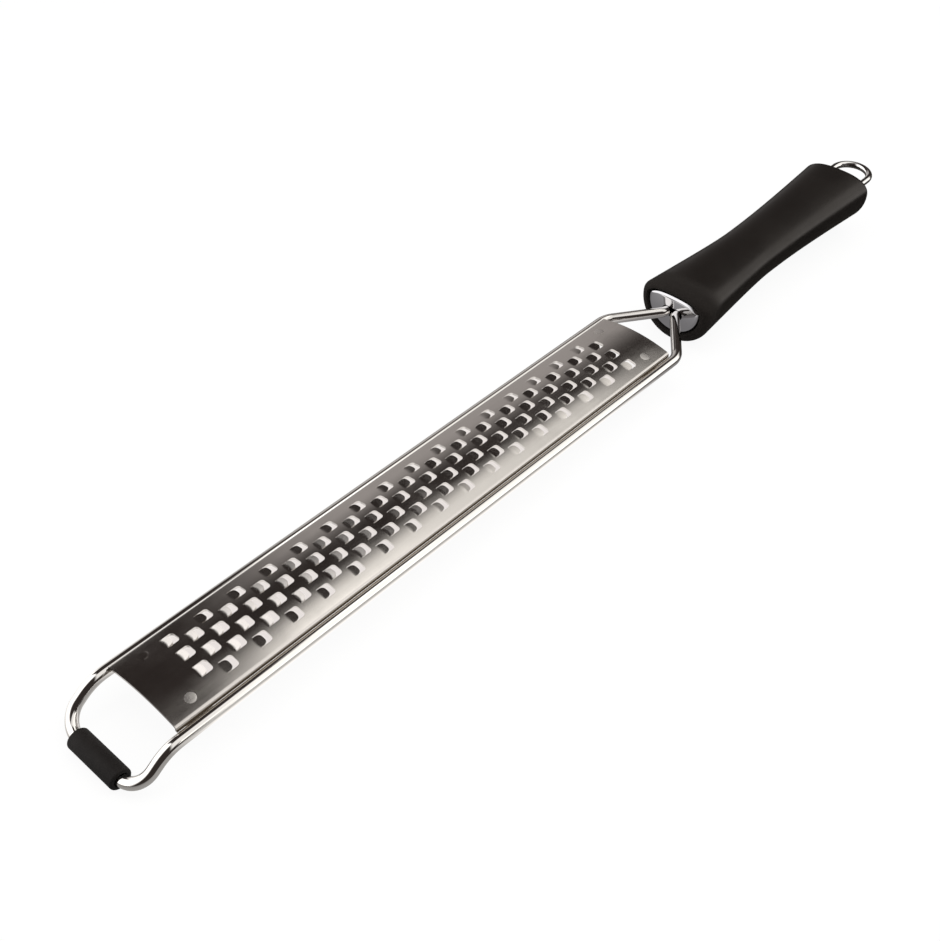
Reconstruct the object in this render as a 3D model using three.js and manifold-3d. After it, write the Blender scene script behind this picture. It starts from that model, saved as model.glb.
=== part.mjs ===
import * as THREE from "three";
import { mergeVertices } from "three/addons/utils/BufferGeometryUtils.js";
import Module from "manifold-3d";

// Hand grater: an arched steel blade with punched teeth, riveted to two straps that sit in a bent wire
// frame. The frame's wire droops to a foot at the tip, and both its ends run into a moulded handle.
// Millimetres, +Z up. It stands on Z = 0 on the foot sleeve and the front of the handle, tip toward -X,
// with the blade level. The origin is under the middle of its length.

// Clearance between pieces that touch
const GAP = 0.3;

// Blade
const BLADE_LENGTH = 228;
const BLADE_WIDTH = 29.5;
const BLADE_SHEET = 0.8;
const CROWN_HEIGHT = 17.3; // top of the arch over the table
const ARCH_RADIUS = 62.5; // top face, across the blade
const EDGE_BEND = 1.1; // outside radius where the long edges turn down
const EDGE_DROP = 5.7; // crown to the lower rim of the turned edges

// Teeth: staggered columns of rounded square holes, each with a half-round tongue bent up at its tip side
const TOOTH_PITCH = 12.5; // along a column
const COLUMN_STEP = 3.775; // from one column to the next, which is half a pitch further on
const SIDE_MARGIN = 3; // long edge to the outer holes
const HOLE_LENGTH = 4.5;
const HOLE_WIDTH = 4.4;
const HOLE_CORNER = 0.8;
const TONGUE_WIDTH = 4;
const TONGUE_REACH = 1.9; // past the hole's front edge
const TONGUE_SHEET = 0.6; // drawn thinner than the blade
const TONGUE_LIFT = THREE.MathUtils.degToRad(22);
const TONGUE_ROOT = 0.4; // buried in the sheet in front of the hole
const TONGUE_SINK = 0.22; // of its root under the top face

// Rivets and the straps under the blade
const RIVET_FROM_END = 8.75;
const RIVET_FROM_SIDE = 4;
const RIVET_HEAD = 3.6; // diameter, flush with the blade
const RIVET_SHANK = 2.4;
const RIVET_TAIL = 3.4; // diameter of the closed end
const RIVET_TAIL_HEIGHT = 0.8;
const STRAP_WIDTH = 9;
const STRAP_SHEET = 1.2;
const STRAP_BEND = 0.9; // radius at the middle of the sheet
const STRAP_FOOT = 2.6; // reach of each foot under its rail, from the leg
const STRAP_TO_TEETH = 1.25;

// Wire frame
const WIRE = 4; // diameter
const RAIL_DROP = 5.15; // crown to the rails' centre line
const BOW_START = 5.1; // blade's front edge to where the rails droop
const BOW_REACH = 16.65; // blade's front edge to the front bar
const BOW_BEND = 13.75; // bend radii are to the centre of the wire
const BAR_BEND = 7.75;
const NECK_START = 3.5; // blade's rear edge to where the rails close in
const NECK_LENGTH = 23.8; // blade's rear edge to the handle
const NECK_BEND = 9;
const TANG_BEND = 5;
const TANG_LEAD = 1.3; // from the tangs' bend to the handle
const TANG_LENGTH = 58; // inside the handle
const TANG_BETWEEN = 0.4; // clear space between the two tangs
const TANG_DROP = 2.2; // below the widest line of the handle

// Foot sleeve
const SLEEVE = 7.2; // diameter
const SLEEVE_LENGTH = 20.4;
const SLEEVE_ROUND = 0.6;

// Handle
const HANDLE_LENGTH = 122.6;
const HANDLE_TILT = THREE.MathUtils.degToRad(1.21); // up toward the rear
const FRONT_RADIUS = 16; // of the round under half
const WAIST_RADIUS = 12.2;
const REAR_RADIUS = 15.4;
const WAIST_PLACE = 54.2; // from the front
const FRONT_SWEEP = 4.4; // how soon the waist opens out, larger is straighter
const REAR_SWEEP = 1.8;
const TOP_RISE = 0.49; // height of the upper half over the radius
const TOP_SQUARENESS = 2.6; // 2 is an ellipse
const FRONT_ROUND = 3.9;
const REAR_ROUND = 2.3;

// End cap, level with the handle's front in a pocket with a flared mouth
const CAP_RADIUS = 11.7;
const CAP_RISE = 4.2; // height of its upper half
const CAP_LIFT = 0.7; // over the handle's widest line
const CAP_DEPTH = 6;
const CAP_ROUND = 1.6;
const MOUTH_FLARE = 1.2;

// Hanging loop
const LOOP_WIRE = 2.9;
const LOOP_SPREAD = 15.9; // between the legs' centre lines
const LOOP_REACH = 20.2; // out of the handle
const LOOP_DEPTH = 14; // into the handle

// Fineness of the facets: an arc has two facets for each of its steps
const BEND_STEP = THREE.MathUtils.degToRad(13); // turn of a wire between stations
const FOLD_STEP = THREE.MathUtils.degToRad(24); // turn of a sheet between stations
const WIRE_STEPS = 6;
const LOOP_STEPS = 5;
const SLEEVE_SIDES = 18;
const SLEEVE_STEPS = 2;
const RIVET_SIDES = 10;
const TONGUE_STEPS = 2;
const HOLE_STEPS = 1;
const SECTION_STEPS = 6;
const END_STEPS = 3;
const BODY_STEPS = 10;
const OVERSHOOT = 2; // of a cutter past the faces that it cuts
const SAME_PLACE = 1e-4; // points closer than this are one point

// Places that follow from the sizes
const bladeFront = -BLADE_LENGTH / 2;
const bladeRear = BLADE_LENGTH / 2;
const archCentreZ = CROWN_HEIGHT - ARCH_RADIUS;
const railY = BLADE_WIDTH / 2 + GAP + WIRE / 2;
const railZ = CROWN_HEIGHT - RAIL_DROP;
const barX = bladeFront - BOW_REACH;
const barZ = SLEEVE / 2;
const handleX = bladeRear + NECK_LENGTH;
const tangY = (WIRE + TANG_BETWEEN) / 2;
const strapX = bladeRear - RIVET_FROM_END;
const rivetY = BLADE_WIDTH / 2 - RIVET_FROM_SIDE;
const plainEnd = RIVET_FROM_END + STRAP_WIDTH / 2 + STRAP_TO_TEETH;

const wasm = await Module();
wasm.setup();

// Closed three.js geometry as a solid for joining and cutting
function solid(geometry) {
  const bare = geometry.clone();
  bare.deleteAttribute("normal");
  bare.deleteAttribute("uv");
  const merged = mergeVertices(bare, SAME_PLACE);
  return new wasm.Manifold(
    new wasm.Mesh({
      numProp: 3,
      vertProperties: merged.attributes.position.array,
      triVerts: new Uint32Array(merged.index.array),
    }),
  );
}

// Solid back to a three.js geometry with flat facets
function geometryOf(body) {
  const mesh = body.getMesh();
  const indexed = new THREE.BufferGeometry();
  indexed.setAttribute("position", new THREE.BufferAttribute(mesh.vertProperties, 3));
  indexed.setIndex(new THREE.BufferAttribute(mesh.triVerts, 1));
  const facets = indexed.toNonIndexed();
  facets.computeVertexNormals();
  return facets;
}

// Section drawn in Y and Z, extruded from one X to another
const sectionToX = new THREE.Matrix4().makeBasis(
  new THREE.Vector3(0, 1, 0),
  new THREE.Vector3(0, 0, 1),
  new THREE.Vector3(1, 0, 0),
);
function alongX(shape, from, to, curveSegments = SECTION_STEPS) {
  return new THREE.ExtrudeGeometry(shape, { depth: to - from, bevelEnabled: false, curveSegments })
    .applyMatrix4(sectionToX)
    .translate(from, 0, 0);
}

function circle(diameter) {
  const shape = new THREE.Shape();
  shape.absarc(0, 0, diameter / 2, 0, 2 * Math.PI);
  return shape;
}

// Wire route: straight runs between corners, each corner bent to its radius. It is sampled only at the
// ends and round the bends, so the straight runs stay whole.
class BentWire extends THREE.Curve {
  constructor(corners) {
    super();
    const first = corners[0].place;
    const last = corners[corners.length - 1].place;
    const leaving = corners[1].place.clone().sub(first).normalize();
    const arriving = last.clone().sub(corners[corners.length - 2].place).normalize();
    this.stations = [{ place: first, heading: leaving }];
    for (let i = 1; i < corners.length - 1; i += 1) {
      this.bend(corners[i - 1].place, corners[i], corners[i + 1].place);
    }
    this.stations.push({ place: last, heading: arriving });
    this.stations = this.stations.filter(
      ({ place }, i, all) => i === 0 || place.distanceTo(all[i - 1].place) > SAME_PLACE,
    );
  }

  bend(before, { place, radius }, after) {
    const back = before.clone().sub(place).normalize();
    const on = after.clone().sub(place).normalize();
    const half = back.angleTo(on) / 2;
    const turn = Math.PI - 2 * half;
    const inward = back.clone().add(on).normalize();
    const centre = place.clone().addScaledVector(inward, radius / Math.sin(half));
    const start = place.clone().addScaledVector(back, radius / Math.tan(half));
    const spoke = start.sub(centre).normalize();
    const forward = back.negate();
    const steps = Math.ceil(turn / BEND_STEP);
    for (let i = 0; i <= steps; i += 1) {
      const cos = Math.cos((turn * i) / steps);
      const sin = Math.sin((turn * i) / steps);
      const out = spoke.clone().multiplyScalar(cos).addScaledVector(forward, sin);
      const heading = forward.clone().multiplyScalar(cos).addScaledVector(spoke, -sin);
      this.stations.push({ place: centre.clone().addScaledVector(out, radius), heading });
    }
  }

  at(share) {
    return this.stations[Math.round(share * (this.stations.length - 1))];
  }

  getPointAt(share, target = new THREE.Vector3()) {
    return target.copy(this.at(share).place);
  }

  getTangentAt(share, target = new THREE.Vector3()) {
    return target.copy(this.at(share).heading);
  }
}

function wireAlong(corners, diameter, curveSegments) {
  const route = new BentWire(corners);
  return new THREE.ExtrudeGeometry(circle(diameter), {
    extrudePath: route,
    steps: route.stations.length - 1,
    curveSegments,
    bevelEnabled: false,
  });
}

function corner(x, y, z, radius) {
  return { place: new THREE.Vector3(x, y, z), radius };
}

// Bent sheet section: stations on the middle line of one half, from the middle outward, each with the
// direction across the sheet. Angles are from +Z toward +Y.
function arcStations(centreY, centreZ, radius, angles, side) {
  return angles.map((angle) => {
    const y = Math.sin(angle);
    const z = Math.cos(angle);
    return { y: centreY + radius * y, z: centreZ + radius * z, acrossY: side * y, acrossZ: side * z };
  });
}

function anglesBetween(from, to) {
  const steps = Math.ceil(Math.abs(to - from) / FOLD_STEP);
  return Array.from({ length: steps + 1 }, (_, i) => from + ((to - from) * i) / steps);
}

// Arch of a given middle radius up to a bend that turns straight down at a half width
function archedHalf(radius, halfWidth, bendRadius, stopsY) {
  const bendY = halfWidth - bendRadius;
  const bendAngle = Math.asin(bendY / (radius - bendRadius));
  const bendZ = archCentreZ + (radius - bendRadius) * Math.cos(bendAngle);
  const archAngles = stopsY.map((y) => Math.asin(y / ARCH_RADIUS)).filter((angle) => angle < bendAngle);
  return [
    ...arcStations(0, archCentreZ, radius, archAngles, 1),
    ...arcStations(bendY, bendZ, bendRadius, anglesBetween(bendAngle, Math.PI / 2), 1),
  ];
}

function sheetSection(half, thickness) {
  const mirrored = half.map((s) => ({ ...s, y: -s.y, acrossY: -s.acrossY }));
  const stations = [...mirrored.reverse(), ...half];
  const face = (s, offset) => new THREE.Vector2(s.y + s.acrossY * offset, s.z + s.acrossZ * offset);
  const upper = stations.map((s) => face(s, thickness / 2));
  const lower = stations.map((s) => face(s, -thickness / 2));
  return new THREE.Shape([...upper, ...lower.reverse()]);
}

// Columns across the blade and rows along it: as many as the blade has room for, centred on it
const columnRoom = BLADE_WIDTH - 2 * SIDE_MARGIN - HOLE_WIDTH;
const columnCount = Math.floor(columnRoom / COLUMN_STEP) + 1;
const rowRoom = BLADE_LENGTH - 2 * plainEnd - HOLE_LENGTH - TOOTH_PITCH / 2;
const rowCount = Math.floor(rowRoom / TOOTH_PITCH) + 1;
const columnPlaces = Array.from(
  { length: columnCount },
  (_, column) => (column - (columnCount - 1) / 2) * COLUMN_STEP,
);

function toothPlaces() {
  const span = (rowCount - 1) * TOOTH_PITCH + TOOTH_PITCH / 2;
  return columnPlaces.flatMap((y, column) => {
    const farSteps = columnCount - 1 - column;
    const stagger = (farSteps % 2) * (TOOTH_PITCH / 2);
    return Array.from({ length: rowCount }, (_, row) => ({ x: row * TOOTH_PITCH + stagger - span / 2, y }));
  });
}

// Puts a shape made at the origin, Z outward, on the top face of the arch
function ontoArch(x, y) {
  const lean = Math.asin(y / ARCH_RADIUS);
  const z = archCentreZ + ARCH_RADIUS * Math.cos(lean);
  return new THREE.Matrix4().makeTranslation(x, y, z).multiply(new THREE.Matrix4().makeRotationX(-lean));
}

function holeCutter() {
  const x = HOLE_LENGTH / 2;
  const y = HOLE_WIDTH / 2;
  const shape = new THREE.Shape();
  shape.moveTo(x, -y + HOLE_CORNER);
  shape.lineTo(x, y - HOLE_CORNER);
  shape.quadraticCurveTo(x, y, x - HOLE_CORNER, y);
  shape.lineTo(-x + HOLE_CORNER, y);
  shape.quadraticCurveTo(-x, y, -x, y - HOLE_CORNER);
  shape.lineTo(-x, -y + HOLE_CORNER);
  shape.quadraticCurveTo(-x, -y, -x + HOLE_CORNER, -y);
  shape.lineTo(x - HOLE_CORNER, -y);
  shape.quadraticCurveTo(x, -y, x, -y + HOLE_CORNER);
  const depth = BLADE_SHEET + 2 * OVERSHOOT;
  return new THREE.ExtrudeGeometry(shape, { depth, bevelEnabled: false, curveSegments: HOLE_STEPS })
    .translate(0, 0, -BLADE_SHEET - OVERSHOOT);
}

// Half-round tongue: rooted in the sheet in front of the hole and bent up toward the handle
function tongue() {
  const half = TONGUE_WIDTH / 2;
  const shape = new THREE.Shape();
  shape.moveTo(0, half);
  shape.lineTo(0, -half);
  shape.lineTo(TONGUE_ROOT, -half);
  shape.absellipse(TONGUE_ROOT, 0, TONGUE_REACH, half, -Math.PI / 2, Math.PI / 2);
  const settings = { depth: TONGUE_SHEET, bevelEnabled: false, curveSegments: TONGUE_STEPS };
  return new THREE.ExtrudeGeometry(shape, settings)
    .translate(0, 0, -TONGUE_SHEET)
    .rotateY(-TONGUE_LIFT)
    .translate(-HOLE_LENGTH / 2 - TONGUE_ROOT, 0, -TONGUE_SINK);
}

// Rivet turned about its own axis, Z outward from the blade's top face, grown by a clearance for its hole
const strapTop = -BLADE_SHEET - GAP;
const tailTop = strapTop - STRAP_SHEET - GAP;
function turned(profile, sides) {
  const points = profile.map(([radius, height]) => new THREE.Vector2(radius, height));
  return new THREE.LatheGeometry(points, sides).rotateX(Math.PI / 2);
}

function rivet() {
  return turned(
    [
      [0, tailTop - RIVET_TAIL_HEIGHT],
      [RIVET_TAIL / 2, tailTop - RIVET_TAIL_HEIGHT],
      [RIVET_TAIL / 2, tailTop],
      [RIVET_SHANK / 2, tailTop],
      [RIVET_SHANK / 2, -BLADE_SHEET],
      [RIVET_HEAD / 2, 0],
      [0, 0],
    ],
    RIVET_SIDES,
  );
}

function rivetHole() {
  return turned(
    [
      [0, tailTop],
      [RIVET_SHANK / 2 + GAP, tailTop],
      [RIVET_SHANK / 2 + GAP, -BLADE_SHEET],
      [RIVET_HEAD / 2 + GAP, 0],
      [RIVET_HEAD / 2 + GAP, OVERSHOOT],
      [0, OVERSHOOT],
    ],
    RIVET_SIDES,
  );
}

const rivetPlaces = [-strapX, strapX].flatMap((x) => [-rivetY, rivetY].map((y) => ({ x, y })));

function blade() {
  const stopsY = columnPlaces.filter((y) => y > 0);
  const half = archedHalf(
    ARCH_RADIUS - BLADE_SHEET / 2,
    (BLADE_WIDTH - BLADE_SHEET) / 2,
    EDGE_BEND - BLADE_SHEET / 2,
    stopsY,
  );
  const rim = { y: (BLADE_WIDTH - BLADE_SHEET) / 2, z: CROWN_HEIGHT - EDGE_DROP, acrossY: 1, acrossZ: 0 };
  const section = sheetSection([...half, rim], BLADE_SHEET);
  const sheet = solid(alongX(section, bladeFront, bladeRear));
  const hole = holeCutter();
  const tooth = tongue();
  const teeth = toothPlaces().map(({ x, y }) => ontoArch(x, y));
  const holes = teeth.map((place) => solid(hole.clone().applyMatrix4(place)));
  const tongues = teeth.map((place) => solid(tooth.clone().applyMatrix4(place)));
  const rivetHoles = rivetPlaces.map(({ x, y }) => solid(rivetHole().applyMatrix4(ontoArch(x, y))));
  const pierced = sheet.subtract(wasm.Manifold.union([...holes, ...rivetHoles]));
  return geometryOf(pierced.add(wasm.Manifold.union(tongues)));
}

// Top-hat strap across the underside of the blade: legs inside the turned edges, feet under the rails
function strap(x) {
  const legY = BLADE_WIDTH / 2 - BLADE_SHEET - GAP - STRAP_SHEET / 2;
  const footZ = railZ - WIRE / 2 - GAP - STRAP_SHEET / 2;
  const crown = archedHalf(
    ARCH_RADIUS - BLADE_SHEET - GAP - STRAP_SHEET / 2,
    legY,
    STRAP_BEND,
    columnPlaces.filter((y) => y > 0),
  );
  const footAngles = anglesBetween(-Math.PI / 2, -Math.PI);
  const footBend = arcStations(legY + STRAP_BEND, footZ + STRAP_BEND, STRAP_BEND, footAngles, -1);
  const footEnd = { y: legY + STRAP_SHEET / 2 + STRAP_FOOT, z: footZ, acrossY: 0, acrossZ: 1 };
  const section = sheetSection([...crown, ...footBend, footEnd], STRAP_SHEET);
  const strip = solid(alongX(section, x - STRAP_WIDTH / 2, x + STRAP_WIDTH / 2));
  const holes = [-rivetY, rivetY].map((y) => solid(rivetHole().applyMatrix4(ontoArch(x, y))));
  return geometryOf(strip.subtract(wasm.Manifold.union(holes)));
}

// Handle section: round below its widest line, a flatter squared crown above it. Both are one high here.
function handleSection() {
  const shape = new THREE.Shape();
  shape.absarc(0, 0, 1, Math.PI, 2 * Math.PI);
  for (let i = 1; i < 2 * SECTION_STEPS; i += 1) {
    const angle = (Math.PI * i) / (2 * SECTION_STEPS);
    const across = Math.sign(Math.cos(angle)) * Math.abs(Math.cos(angle)) ** (2 / TOP_SQUARENESS);
    shape.lineTo(across, Math.sin(angle) ** (2 / TOP_SQUARENESS));
  }
  return shape;
}

// Loft of that section along X, through stations that each have their radius and the rise of the crown
function lofted(stations) {
  const steps = stations.length - 1;
  const settings = { depth: steps, steps, bevelEnabled: false, curveSegments: SECTION_STEPS };
  const loft = new THREE.ExtrudeGeometry(handleSection(), settings);
  const points = loft.attributes.position;
  for (let i = 0; i < points.count; i += 1) {
    const { distance, radius, rise } = stations[Math.round(points.getZ(i))];
    const height = points.getY(i);
    points.setXYZ(i, points.getX(i) * radius, height * (height > 0 ? rise : radius), distance);
  }
  return loft.applyMatrix4(sectionToX);
}

// Rounded end: stations from its face to where it is full, each with how far the outline is drawn in
function roundedEnd(round) {
  return Array.from({ length: END_STEPS }, (_, i) => {
    const angle = (Math.PI / 2) * (i / END_STEPS);
    return { distance: round * (1 - Math.cos(angle)), drawnIn: round * (1 - Math.sin(angle)) };
  });
}

// Radius of the round half at a distance from the handle's front, before its ends are rounded over
function handleRadius(distance) {
  const swell = (share, sweep) => (Math.hypot(1, sweep * share) - 1) / (Math.hypot(1, sweep) - 1);
  const toFront = (WAIST_PLACE - distance) / WAIST_PLACE;
  const toRear = (distance - WAIST_PLACE) / (HANDLE_LENGTH - WAIST_PLACE);
  const front = (FRONT_RADIUS - WAIST_RADIUS) * swell(Math.max(toFront, 0), FRONT_SWEEP);
  const rear = (REAR_RADIUS - WAIST_RADIUS) * swell(Math.max(toRear, 0), REAR_SWEEP);
  return WAIST_RADIUS + front + rear;
}

// Stations along the handle: close together round its ends
const bodyLength = HANDLE_LENGTH - FRONT_ROUND - REAR_ROUND;
const handleStations = [
  ...roundedEnd(FRONT_ROUND),
  ...Array.from({ length: BODY_STEPS + 1 }, (_, i) => ({
    distance: FRONT_ROUND + (bodyLength * i) / BODY_STEPS,
    drawnIn: 0,
  })),
  ...roundedEnd(REAR_ROUND)
    .map(({ distance, drawnIn }) => ({ distance: HANDLE_LENGTH - distance, drawnIn }))
    .reverse(),
].map(({ distance, drawnIn }) => {
  const radius = handleRadius(distance) - drawnIn;
  return { distance, radius, rise: radius * TOP_RISE };
});

// The handle's own frame: X along it from its front face, at its widest line; it rests on Z = 0
const handleZ = Math.max(
  ...handleStations.map(({ distance, radius }) => {
    return radius * Math.cos(HANDLE_TILT) - distance * Math.sin(HANDLE_TILT);
  }),
);
const handleFrame = new THREE.Matrix4()
  .makeTranslation(handleX, 0, handleZ)
  .multiply(new THREE.Matrix4().makeRotationY(-HANDLE_TILT));
const inHandle = (x, y, z) => new THREE.Vector3(x, y, z).applyMatrix4(handleFrame);

// Slot that both tangs pass through side by side, from the bend in front of the handle inward
function tangSlot(from, to, sideRoom) {
  const round = WIRE / 2 + GAP;
  const reach = tangY + sideRoom;
  const shape = new THREE.Shape();
  shape.absarc(reach, -TANG_DROP, round, -Math.PI / 2, Math.PI / 2);
  shape.absarc(-reach, -TANG_DROP, round, Math.PI / 2, (3 * Math.PI) / 2);
  return alongX(shape, from, to, WIRE_STEPS);
}

// Pocket for the cap, with its clearance
function capPocket() {
  const grown = (distance, growth) => ({
    distance,
    radius: CAP_RADIUS + growth,
    rise: CAP_RISE + growth,
  });
  return lofted([
    grown(-OVERSHOOT, MOUTH_FLARE + GAP),
    grown(0, MOUTH_FLARE + GAP),
    grown(CAP_ROUND, GAP),
    grown(CAP_DEPTH + GAP, GAP),
  ]).translate(0, 0, CAP_LIFT);
}

function grip() {
  const tangCut = tangSlot(CAP_DEPTH, TANG_LENGTH + GAP, 0);
  const loopBore = circle(LOOP_WIRE + 2 * GAP);
  const boreEnd = HANDLE_LENGTH - LOOP_DEPTH - GAP;
  const loopCuts = [-LOOP_SPREAD / 2, LOOP_SPREAD / 2].map((y) =>
    alongX(loopBore, boreEnd, HANDLE_LENGTH + OVERSHOOT, LOOP_STEPS).translate(0, y, 0),
  );
  const cuts = [capPocket(), tangCut, ...loopCuts].map(solid);
  return geometryOf(solid(lofted(handleStations)).subtract(wasm.Manifold.union(cuts)));
}

// Cap: a plug of the handle's section with a rounded rim. Its slot is wide enough for the wires where they
// are still closing in.
function cap() {
  const rim = [
    ...roundedEnd(CAP_ROUND),
    { distance: CAP_ROUND, drawnIn: 0 },
    { distance: CAP_DEPTH, drawnIn: 0 },
  ];
  const plug = lofted(
    rim.map(({ distance, drawnIn }) => ({
      distance,
      radius: CAP_RADIUS - drawnIn,
      rise: CAP_RISE - drawnIn,
    })),
  ).translate(0, 0, CAP_LIFT);
  const closingIn = Math.atan2(railY - tangY, NECK_LENGTH - NECK_START - TANG_LEAD);
  const bendEnd = TANG_BEND * Math.tan(closingIn / 2) - TANG_LEAD;
  const wireRoom = Math.max(bendEnd, 0) * Math.tan(closingIn);
  const slot = tangSlot(-OVERSHOOT, CAP_DEPTH + OVERSHOOT, wireRoom);
  return geometryOf(solid(plug).subtract(solid(slot)));
}

// Frame: one wire from a tang, along a rail, round the drooping bow and back to the other tang
function frame() {
  const tangEnd = inHandle(TANG_LENGTH, tangY, -TANG_DROP);
  const tangStart = inHandle(-TANG_LEAD, tangY, -TANG_DROP);
  const farSide = [
    corner(tangEnd.x, tangEnd.y, tangEnd.z, 0),
    corner(tangStart.x, tangStart.y, tangStart.z, TANG_BEND),
    corner(bladeRear + NECK_START, railY, railZ, NECK_BEND),
    corner(bladeFront - BOW_START, railY, railZ, BOW_BEND),
    corner(barX, railY, barZ, BAR_BEND),
  ];
  const nearSide = farSide.map(({ place, radius }) => corner(place.x, -place.y, place.z, radius));
  return wireAlong([...farSide, ...nearSide.reverse()], WIRE, WIRE_STEPS);
}

function sleeve() {
  const bore = WIRE / 2 + GAP;
  const outside = SLEEVE / 2;
  const end = SLEEVE_LENGTH / 2;
  const round = Math.min(SLEEVE_ROUND, (outside - bore) / 2);
  const section = new THREE.Path();
  section.moveTo(bore, -end);
  section.absarc(outside - round, -end + round, round, -Math.PI / 2, 0);
  section.absarc(outside - round, end - round, round, 0, Math.PI / 2);
  section.lineTo(bore, end);
  section.closePath();
  return new THREE.LatheGeometry(section.getPoints(SLEEVE_STEPS), SLEEVE_SIDES).translate(barX, 0, barZ);
}

function loop() {
  const side = LOOP_SPREAD / 2;
  const inner = HANDLE_LENGTH - LOOP_DEPTH;
  const outer = HANDLE_LENGTH + LOOP_REACH - LOOP_WIRE / 2;
  const corners = [
    corner(inner, -side, 0, 0),
    corner(outer, -side, 0, side),
    corner(outer, side, 0, side),
    corner(inner, side, 0, 0),
  ];
  return wireAlong(corners, LOOP_WIRE, LOOP_STEPS);
}

const polishedSteel = { color: 0xb9b6b2, roughness: 0.18, metalness: 1 };
const brightWire = { color: 0xd2d3d4, roughness: 0.1, metalness: 1 };
const blackRubber = { color: 0x282423, roughness: 0.8, metalness: 0 };
const blackPlastic = { color: 0x1a1614, roughness: 0.55, metalness: 0 };

function piece(name, geometry, finish) {
  const mesh = new THREE.Mesh(geometry, new THREE.MeshStandardMaterial(finish));
  mesh.name = name;
  return mesh;
}

const handle = new THREE.Group();
handle.applyMatrix4(handleFrame);
handle.add(piece("handle_grip", grip(), blackPlastic));
handle.add(piece("end_cap", cap(), brightWire));
handle.add(piece("hanging_loop", loop(), brightWire));

const assembly = new THREE.Group();
assembly.add(piece("grating_blade", blade(), polishedSteel));
assembly.add(piece("front_strap", strap(-strapX), polishedSteel));
assembly.add(piece("rear_strap", strap(strapX), polishedSteel));
assembly.add(piece("wire_frame", frame(), brightWire));
assembly.add(piece("foot_sleeve", sleeve(), blackRubber));
rivetPlaces.forEach(({ x, y }) => {
  const name = `rivet_${x < 0 ? "front" : "rear"}_${y < 0 ? "near" : "far"}`;
  const mesh = piece(name, rivet(), polishedSteel);
  mesh.applyMatrix4(ontoArch(x, y));
  assembly.add(mesh);
});
assembly.add(handle);

// The middle of the length, from the front of the sleeve to the end of the loop, is at X = 0
const frontEnd = barX - SLEEVE / 2;
const rearEnd = inHandle(HANDLE_LENGTH + LOOP_REACH, 0, 0).x;
assembly.position.x = -(frontEnd + rearEnd) / 2;

const grater = new THREE.Group();
grater.add(assembly);

export default grater;
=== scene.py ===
import functools
import math

import bmesh
import bpy
from mathutils import Matrix, Vector


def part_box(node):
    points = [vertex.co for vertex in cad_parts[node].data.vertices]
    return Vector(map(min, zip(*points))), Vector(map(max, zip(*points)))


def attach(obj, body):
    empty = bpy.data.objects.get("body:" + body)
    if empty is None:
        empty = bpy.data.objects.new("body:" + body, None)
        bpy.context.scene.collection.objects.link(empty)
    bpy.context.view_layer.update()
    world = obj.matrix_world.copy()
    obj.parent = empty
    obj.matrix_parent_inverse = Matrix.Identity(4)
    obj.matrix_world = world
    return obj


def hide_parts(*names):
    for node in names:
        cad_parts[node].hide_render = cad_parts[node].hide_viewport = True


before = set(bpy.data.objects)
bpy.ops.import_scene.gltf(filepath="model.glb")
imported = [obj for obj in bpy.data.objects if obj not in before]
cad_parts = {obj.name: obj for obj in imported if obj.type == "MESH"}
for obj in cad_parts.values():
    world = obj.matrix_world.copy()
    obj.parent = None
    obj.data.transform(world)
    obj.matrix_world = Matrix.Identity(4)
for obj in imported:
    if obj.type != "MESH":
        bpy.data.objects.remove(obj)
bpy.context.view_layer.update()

# Wire frame: one length of bright 4 mm steel wire that carries everything else. It is bent cold: two rails,
# a bow that droops to the foot at the tip, and a neck whose two ends run side by side into the handle.
MM = 0.001
WIRE = 4 * MM
WIRE_SIDES = 28
BEND_STEP = math.radians(5)
SAME_PLACE = 0.01 * MM

# Ends of the blade: the places along the tool are told from them
blade_low, blade_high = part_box("grating_blade")
blade_x = (blade_low.x + blade_high.x) / 2
BLADE_LENGTH = 228 * MM
BLADE_WIDTH = 29.5 * MM
CROWN_HEIGHT = 17.3 * MM
blade_front = blade_x - BLADE_LENGTH / 2
blade_rear = blade_x + BLADE_LENGTH / 2

# Handle frame: X along the handle from its front face, at its widest line, tilted up toward the rear
HANDLE_TILT = math.radians(1.21)
HANDLE_HEIGHT = 15.6 * MM
NECK_LENGTH = 23.8 * MM
handle_front = blade_rear + NECK_LENGTH
handle_frame = (
    Matrix.Translation((handle_front, 0, HANDLE_HEIGHT)) @ Matrix.Rotation(-HANDLE_TILT, 4, "Y")
)

RAIL_Y = 17.05 * MM
RAIL_Z = 12.15 * MM
BAR_Z = 3.6 * MM
BOW_START = 5.1 * MM
BOW_REACH = 16.65 * MM
BOW_BEND = 13.75 * MM
BAR_BEND = 7.75 * MM
NECK_START = 3.5 * MM
NECK_BEND = 9 * MM
TANG_BEND = 5 * MM
TANG_LEAD = 1.3 * MM
TANG_LENGTH = 58 * MM
TANG_Y = 2.2 * MM
TANG_DROP = 2.2 * MM


def bent_route(corners):
    """Points of a wire that is straight between its corners and bent to a radius at each of them."""
    points = [corners[0][0]]
    for (before, _), (place, radius), (after, _) in zip(corners, corners[1:], corners[2:]):
        back = (before - place).normalized()
        on = (after - place).normalized()
        half = back.angle(on) / 2
        turn = math.pi - 2 * half
        centre = place + (back + on).normalized() * (radius / math.sin(half))
        spoke = place + back * (radius / math.tan(half)) - centre
        steps = math.ceil(turn / BEND_STEP)
        for i in range(steps + 1):
            angle = turn * i / steps
            points.append(centre + spoke * math.cos(angle) - back * (radius * math.sin(angle)))
    points.append(corners[-1][0])
    kept = points[:1]
    for point in points[1:]:
        if (point - kept[-1]).length > SAME_PLACE:
            kept.append(point)
    return kept


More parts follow.
